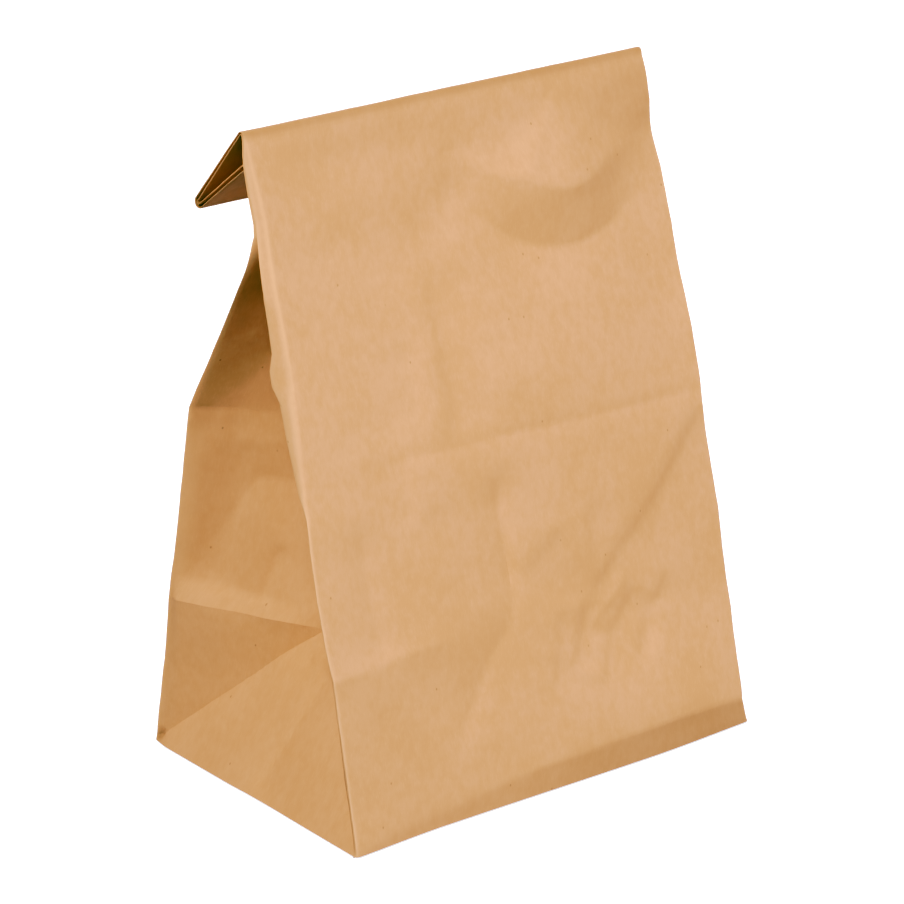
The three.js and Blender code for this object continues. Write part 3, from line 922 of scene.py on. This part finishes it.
def cockle_tree():
    """Geometry Nodes that give paper its soft waves and small ripples."""
    tree = bpy.data.node_groups.new("paper_cockle", "GeometryNodeTree")
    add_socket = tree.interface.new_socket
    add_socket("Geometry", in_out="INPUT", socket_type="NodeSocketGeometry")
    for name in ("Cockle Height", "Cockle Width", "Ripple Height", "Ripple Width", "Seed"):
        add_socket(name, in_out="INPUT", socket_type="NodeSocketFloat")
    add_socket("Paper", in_out="INPUT", socket_type="NodeSocketMaterial")
    add_socket("Geometry", in_out="OUTPUT", socket_type="NodeSocketGeometry")
    nodes = Nodes(tree)
    entry = nodes.add("NodeGroupInput")
    inputs = {socket.name: Value(nodes, socket) for socket in entry.outputs if socket.name}
    position = nodes.value("GeometryNodeInputPosition", "Position")
    free = nodes.value("GeometryNodeInputNamedAttribute", "Attribute", {"Name": "free_paper"},
                       data_type="FLOAT")

    def waves(height, width):
        noise = nodes.value("ShaderNodeTexNoise", "Color", {
            "Vector": position, "W": inputs["Seed"], "Scale": 1 / inputs[width], "Detail": 1.0,
        }, noise_dimensions="4D")
        centred = nodes.value("ShaderNodeVectorMath", "Vector", {0: noise, 1: (0.5, 0.5, 0.5)},
                              operation="SUBTRACT")
        return nodes.value("ShaderNodeVectorMath", "Vector",
                           {0: centred, "Scale": inputs[height] * 2 * free}, operation="SCALE")

    offset = nodes.value("ShaderNodeVectorMath", "Vector",
                         {0: waves("Cockle Height", "Cockle Width"),
                          1: waves("Ripple Height", "Ripple Width")}, operation="ADD")
    moved = nodes.value("GeometryNodeSetPosition", "Geometry",
                        {"Geometry": inputs["Geometry"], "Offset": offset})
    real = nodes.value("GeometryNodeRealizeInstances", "Geometry", {"Geometry": moved})
    finished = nodes.value("GeometryNodeSetMaterial", "Geometry",
                           {"Geometry": real, "Material": inputs["Paper"]})
    nodes.add("NodeGroupOutput", {"Geometry": finished})
    return tree


def apply_cockle(piece, finish, material):
    """Runs the waves over a piece and keeps the result as its plain mesh."""
    tree = cockle_tree()
    modifier = piece.modifiers.new("paper_cockle", "NODES")
    modifier.node_group = tree
    wanted = {
        "Cockle Height": finish.cockle_height,
        "Cockle Width": finish.cockle_width,
        "Ripple Height": finish.ripple_height,
        "Ripple Width": finish.ripple_width,
        "Seed": float(finish.seed),
        "Paper": material,
    }
    for socket in tree.interface.items_tree:
        if socket.in_out == "INPUT" and socket.name in wanted:
            modifier[socket.identifier] = wanted[socket.name]
    depsgraph = bpy.context.evaluated_depsgraph_get()
    finished = bpy.data.meshes.new_from_object(
        piece.evaluated_get(depsgraph), preserve_all_data_layers=True, depsgraph=depsgraph)
    piece.modifiers.clear()
    piece.data = finished


def add_flap(points, faces, uvs, paper, outer, inner, bottom, top):
    """A pasted base flap: a thin slab whose ends run in at 45 degrees."""
    half = paper.half_width
    run = abs(inner - outer)
    ring = [(-half, outer), (half, outer), (half - run, inner), (run - half, inner)]
    if inner < outer:
        ring.reverse()
    start = len(points)
    points.extend((x, y, bottom) for x, y in ring)
    points.extend((x, y, top) for x, y in ring)
    sides = [[0, 1, 5, 4], [1, 2, 6, 5], [2, 3, 7, 6], [3, 0, 4, 7]]
    for face in [[3, 2, 1, 0], [4, 5, 6, 7], *sides]:
        faces.append([start + corner for corner in face])
        uvs.extend((points[start + corner][0] * MM, points[start + corner][1] * MM)
                   for corner in face)


class PAPERBAG_OT_fold_bag(bpy.types.Operator):
    """Fold the sheet of kraft paper into the bag, with its gussets, base and rolled top"""
    bl_idname = "paper_bag.fold_bag"
    bl_label = "Fold Bag"

    FLAP_BITE = 0.05
    CRISP_ANGLE = math.radians(24)

    def execute(self, context):
        scene = context.scene
        sizes, finish = scene.paper_bag_sizes, scene.kraft_paper_finish
        paper = FoldedPaper(sizes)
        points, faces, uvs, columns = build_sheet(paper)
        mm = Millimetres(sizes)
        lap = mm.flap_lap / 2
        step = mm.flap_step
        flap_top = 2 * step + self.FLAP_BITE
        add_flap(points, faces, uvs, paper, mm.depth / 2, lap, step, flap_top)
        add_flap(points, faces, uvs, paper, -mm.depth / 2, lap, 0, flap_top)
        points = np.array(points)
        mesh = bpy.data.meshes.new("folded_paper")
        mesh.from_pydata((points * MM).tolist(), [], faces)
        layer = mesh.uv_layers.new(name="sheet")
        layer.data.foreach_set("uv", np.array(uvs, dtype=np.float32).ravel())
        self.add_attributes(mesh, paper, points, columns)
        mesh.polygons.foreach_set("use_smooth", [True] * len(mesh.polygons))
        mesh.set_sharp_from_angle(angle=self.CRISP_ANGLE)
        self.sharpen_hip(mesh, paper, columns)
        mesh.validate()
        piece = bpy.data.objects.new("folded_paper", mesh)
        scene.collection.objects.link(piece)
        material = kraft_paper(finish)
        mesh.materials.append(material)
        apply_cockle(piece, finish, material)
        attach(piece, "root")
        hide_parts(CAD_NODE)
        return {"FINISHED"}

    # How free the paper is to wave: fully above the stiff base, and less from the neck up
    FREE_ABOVE_BASE = Ramp(0, 1, 0, 14)
    FREE_AT_RIDGE = 0.45
    NECK_MARGIN = 6
    # Pale marks along the long edges, partly worn and partly painted highlight on the rounded edges, a
    # painted highlight along the left strip's crease, and a painted highlight in a strip beside the left
    # gusset's back edge, by distance from that edge and by height
    EDGE_WEAR_AND_HIGHLIGHT_REACH = 0.8
    ROLL_WEAR_AND_HIGHLIGHT = 0.3
    CREASE_HIGHLIGHT = 0.7
    CREASE_HIGHLIGHT_REACH = 0.6
    CREASE_LEAST_SLOPE = 0.5
    HIGHLIGHT_STRIP = (Ramp(0, 0.6, -1, 0), Ramp(1, 0, 2, 5))
    HIGHLIGHT_STRIP_HEIGHTS = (Ramp(0, 1, 44, 50), Ramp(1, 0, 84, 91))
    # Painted shade on the ridge and on the tip of the roll: rings past the fold's first one, depth of the
    # painted shade, and reach along the paper
    RIDGE_PAINTED_SHADE = (3, 0.6, 1.6)
    TIP_PAINTED_SHADE = (8, 1.0, 4)
    # Painted shade in the opening at the left gusset's back foot corner
    FOOT_CORNER_PAINTED_SHADE = Mound(1, 1.2, 1.6, 1.3, 1.3)

    def add_attributes(self, mesh, paper, points, columns):
        """How free the paper is to wave, how pale its folds are from worn fibres and painted highlight,
        and the painted shade at some folds.
        """
        line = paper.outline
        rings = np.arange(len(paper.heights))
        heights = np.repeat(paper.heights, len(columns))
        from_back = np.tile(columns - paper.marks[3], len(rings))
        x, _, z = points[:len(heights)].T

        def keep(name, values):
            every = np.zeros(len(points))
            every[:len(values)] = values
            mesh.attributes.new(name, "FLOAT", "POINT").data.foreach_set("value", every)

        fading = Ramp(1, self.FREE_AT_RIDGE, line.neck_slant - self.NECK_MARGIN, line.slant)
        keep("free_paper", self.FREE_ABOVE_BASE(z) * fading(heights))

        # Pale along every long edge: partly worn, partly painted highlight on the rounded edge
        edge = np.exp(-(paper.from_edge(columns) / self.EDGE_WEAR_AND_HIGHLIGHT_REACH) ** 2)
        below_ridge = rings < line.ridge_ring
        edge_wear_and_highlight = np.outer(np.where(below_ridge, 1, self.ROLL_WEAR_AND_HIGHLIGHT), edge).ravel()
        # Painted highlight in a strip beside the left gusset's back edge
        strip = math.prod(ramp(from_back) for ramp in self.HIGHLIGHT_STRIP)
        strip = strip * math.prod(ramp(heights) for ramp in self.HIGHLIGHT_STRIP_HEIGHTS)
        # Painted highlight along the crease of the front panel's left strip
        from_crease = x - (np.interp(heights, *EDGE_CREASE) - paper.half_width)
        crease = self.CREASE_HIGHLIGHT * np.exp(-(from_crease / self.CREASE_HIGHLIGHT_REACH) ** 2)
        crease *= np.interp(heights, *EDGE_SLOPE) > self.CREASE_LEAST_SLOPE
        crease *= np.outer(below_ridge, columns < paper.width).ravel()
        keep("fold_wear", np.maximum.reduce([edge_wear_and_highlight, strip, crease]))

        # Painted shade along the ridge and the tip of the roll, and at the left gusset's back foot corner
        shade = np.zeros(len(rings))
        for fold_ring, fold in ((line.ridge_ring, self.RIDGE_PAINTED_SHADE), (line.tip_ring, self.TIP_PAINTED_SHADE)):
            rings_on, share, reach = fold
            shade += share * np.exp(-((line.run - line.run[fold_ring + rings_on]) / reach) ** 2)
        keep("fold_shade", np.maximum(np.repeat(shade, len(columns)), self.FOOT_CORNER_PAINTED_SHADE(from_back, heights)))

    def sharpen_hip(self, mesh, paper, columns):
        """The crease that the base fold leaves across each gusset is crisp."""
        around = len(columns)
        ring = paper.outline.hip_ring
        inside_gusset = np.isin(paper.part_of(columns), (1, 3)) & (paper.from_edge(columns) > 0)
        on_hip = np.zeros(len(mesh.vertices), bool)
        on_hip[ring * around:(ring + 1) * around] = inside_gusset
        ends = np.zeros(len(mesh.edges) * 2, dtype=np.int32)
        mesh.edges.foreach_get("vertices", ends)
        pairs = on_hip[ends.reshape(-1, 2)].all(axis=1)
        sharp = np.zeros(len(mesh.edges), bool)
        mesh.edges.foreach_get("use_edge_sharp", sharp)
        mesh.edges.foreach_set("use_edge_sharp", sharp | pairs)


def direction(turn, rise):
    """Unit vector from the bag, turned from the front and raised from level, in radians."""
    level = math.cos(rise)
    return Vector((math.sin(turn) * level, -math.cos(turn) * level, math.sin(rise)))


class PAPERBAG_OT_studio(bpy.types.Operator):
    """Set up the floor, the soft lights and the camera"""
    bl_idname = "paper_bag.studio"
    bl_label = "Studio"

    CAMERA_AIM = Vector((-24.4, -26.8, 94.2)) * MM
    SENSOR_WIDTH = 36
    FLOOR_REACH = 4.0
    FLOOR_FINISH = {
        "Base Color": (0.9, 0.9, 0.9, 1),
        "Roughness": 0.9,
        "Emission Color": (1, 1, 1, 1),
        "Emission Strength": 0.6,
        "Specular IOR Level": 0.1,
    }
    # Each light's turn from the front and its height angle, in degrees
    LIGHTS = {"key": (-60, 45), "front": (15, 15), "right": (80, 15), "top": (40, 72), "back": (150, 30)}
    LIGHT_AIM = Vector((0, 0, 0.08))
    LIGHT_REACH = 1.5
    LIGHT_SIZE = 0.7
    # How the picture answers to light, from black to white: scene light to picture light
    TONES = ((0.0, 0.0), (0.0382, 0.0120), (0.0703, 0.0513), (0.127, 0.130), (0.223, 0.262),
             (0.376, 0.423), (0.546, 0.591), (0.791, 0.807), (1.0, 1.0))
    RED_TONES = ((0.0, 0.0), (0.05, 0.030), (0.12, 0.085), (0.20, 0.185), (0.25, 0.245),
                 (0.337, 0.40), (0.468, 0.53), (0.617, 0.635), (0.70, 0.70), (1.0, 1.0))
    GREEN_TONES = ((0.0, 0.0), (0.0116, 0.0190), (0.032, 0.045), (0.080, 0.072), (0.13, 0.127),
                   (0.20, 0.199), (0.30, 0.302), (0.45, 0.446), (0.70, 0.69), (1.0, 1.0))
    BLUE_TONES = ((0.0, 0.0), (0.0188, 0.0020), (0.0353, 0.0150), (0.0595, 0.0460), (0.114, 0.0930),
                  (0.156, 0.134), (0.191, 0.170), (0.215, 0.205), (0.26, 0.262), (0.40, 0.405),
                  (1.0, 1.0))

    def execute(self, context):
        scene = context.scene
        studio = scene.paper_bag_studio
        self.add_camera(scene, studio)
        self.add_floor(scene)
        for name, (turn, rise) in self.LIGHTS.items():
            self.add_light(scene, name, getattr(studio, name + "_power"), turn, rise)
        self.add_sky(scene, studio)
        self.set_tones(scene.view_settings)
        return {"FINISHED"}

    def add_camera(self, scene, studio):
        back = direction(studio.azimuth, studio.elevation)
        right = back.cross(Vector((0, 0, -1))).normalized()
        up = back.cross(right)
        roll = Matrix.Rotation(studio.roll, 3, back)
        axes = Matrix((roll @ right, roll @ up, back)).transposed()
        data = bpy.data.cameras.new("camera")
        data.lens = studio.lens
        data.sensor_width = self.SENSOR_WIDTH
        camera = bpy.data.objects.new("camera", data)
        place = self.CAMERA_AIM + back * studio.distance
        camera.matrix_world = Matrix.Translation(place) @ axes.to_4x4()
        scene.collection.objects.link(camera)
        bpy.context.scene.camera = camera

    def add_floor(self, scene):
        reach = self.FLOOR_REACH
        mesh = bpy.data.meshes.new("studio_floor")
        corners = [(-reach, -reach, 0), (reach, -reach, 0), (reach, reach, 0), (-reach, reach, 0)]
        mesh.from_pydata(corners, [], [[0, 1, 2, 3]])
        floor = bpy.data.objects.new("studio_floor", mesh)
        material = bpy.data.materials.new("studio_floor")
        material.use_nodes = True
        shader = material.node_tree.nodes["Principled BSDF"]
        for name, value in self.FLOOR_FINISH.items():
            shader.inputs[name].default_value = value
        mesh.materials.append(material)
        scene.collection.objects.link(floor)
        floor.visible_diffuse = False

    def add_light(self, scene, name, power, turn, rise):
        """A square soft light that points at the middle of the bag."""
        data = bpy.data.lights.new(name, "AREA")
        data.energy = power
        data.size = self.LIGHT_SIZE
        light = bpy.data.objects.new(name, data)
        towards = direction(math.radians(turn), math.radians(rise))
        light.location = self.LIGHT_AIM + towards * self.LIGHT_REACH
        light.rotation_euler = (-towards).to_track_quat("-Z", "Y").to_euler()
        scene.collection.objects.link(light)

    def add_sky(self, scene, studio):
        world = bpy.data.worlds.new("studio")
        world.use_nodes = True
        backdrop = world.node_tree.nodes["Background"]
        backdrop.inputs["Color"].default_value = (1, 1, 1, 1)
        backdrop.inputs["Strength"].default_value = studio.sky
        scene.world = world

    def set_tones(self, view):
        view.view_transform = "Standard"
        view.look = "None"
        view.use_curve_mapping = True
        every_tones = (self.RED_TONES, self.GREEN_TONES, self.BLUE_TONES, self.TONES)
        for curve, tones in zip(view.curve_mapping.curves, every_tones):
            for place, value in tones[1:-1]:
                curve.points.new(place, value)
        view.curve_mapping.update()


class PAPERBAG_PT_panel(bpy.types.Panel):
    """Sizes, finish and steps of the paper bag"""
    bl_idname = "PAPERBAG_PT_panel"
    bl_label = "Paper Bag"
    bl_space_type = "VIEW_3D"
    bl_region_type = "UI"
    bl_category = "Paper Bag"

    def draw(self, context):
        scene = context.scene
        for title, group in (("Sizes", scene.paper_bag_sizes), ("Kraft Paper", scene.kraft_paper_finish),
                             ("Studio", scene.paper_bag_studio)):
            box = self.layout.box()
            box.label(text=title)
            for name in group.bl_rna.properties.keys():
                if name not in ("rna_type", "name"):
                    box.prop(group, name)
        for step in STEPS:
            self.layout.operator(step.bl_idname)


STEPS = (PAPERBAG_OT_studio, PAPERBAG_OT_fold_bag)
GROUPS = {
    "paper_bag_sizes": PaperBagSizes,
    "kraft_paper_finish": KraftPaperFinish,
    "paper_bag_studio": PaperBagStudio,
}
CLASSES = (*GROUPS.values(), *STEPS, PAPERBAG_PT_panel)


def register():
    for cls in CLASSES:
        bpy.utils.register_class(cls)
    for name, group in GROUPS.items():
        setattr(bpy.types.Scene, name, PointerProperty(type=group))


def unregister():
    for name in GROUPS:
        delattr(bpy.types.Scene, name)
    for cls in reversed(CLASSES):
        bpy.utils.unregister_class(cls)


def main():
    register()
    bpy.ops.paper_bag.studio()
    bpy.ops.paper_bag.fold_bag()


if __name__ == "__main__":
    main()
